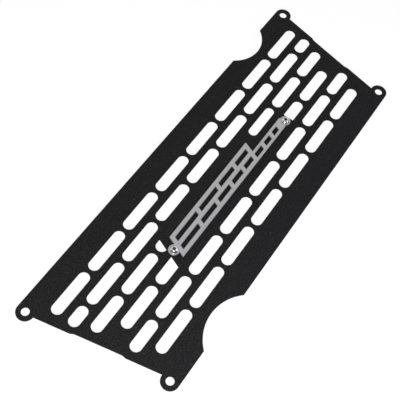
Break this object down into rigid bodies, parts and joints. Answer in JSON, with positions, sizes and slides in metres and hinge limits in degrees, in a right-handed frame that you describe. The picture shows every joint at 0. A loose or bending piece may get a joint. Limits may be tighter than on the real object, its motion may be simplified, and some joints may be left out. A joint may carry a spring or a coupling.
{
  "type": "motorcycle radiator guard",
  "caption": "Flat trapezoidal radiator guard of black coated sheet with a staggered field of slots, round fixing ears, two edge notches and a slim windowed badge plate.",
  "frame": {"origin": "midway between the two upper fixing holes, on the back face of the sheet", "axes": "+X along the guard, +Y from the short lower edge towards the long upper edge, +Z out of the front face that carries the badge"},
  "size_m": [0.315, 0.1068, 0.0076],
  "materials": {
    "black_coat": "satin black powder coat with a fine grain",
    "badge_steel": "brushed stainless sheet",
    "fastener_steel": "bright plated steel"
  },
  "bodies": {
    "root": {"guard_plate": "black_coat", "badge": "badge_steel", "badge_screw_left": "fastener_steel", "badge_screw_right": "fastener_steel", "badge_nut_left": "fastener_steel", "badge_nut_right": "fastener_steel"}
  },
  "joints": []
}
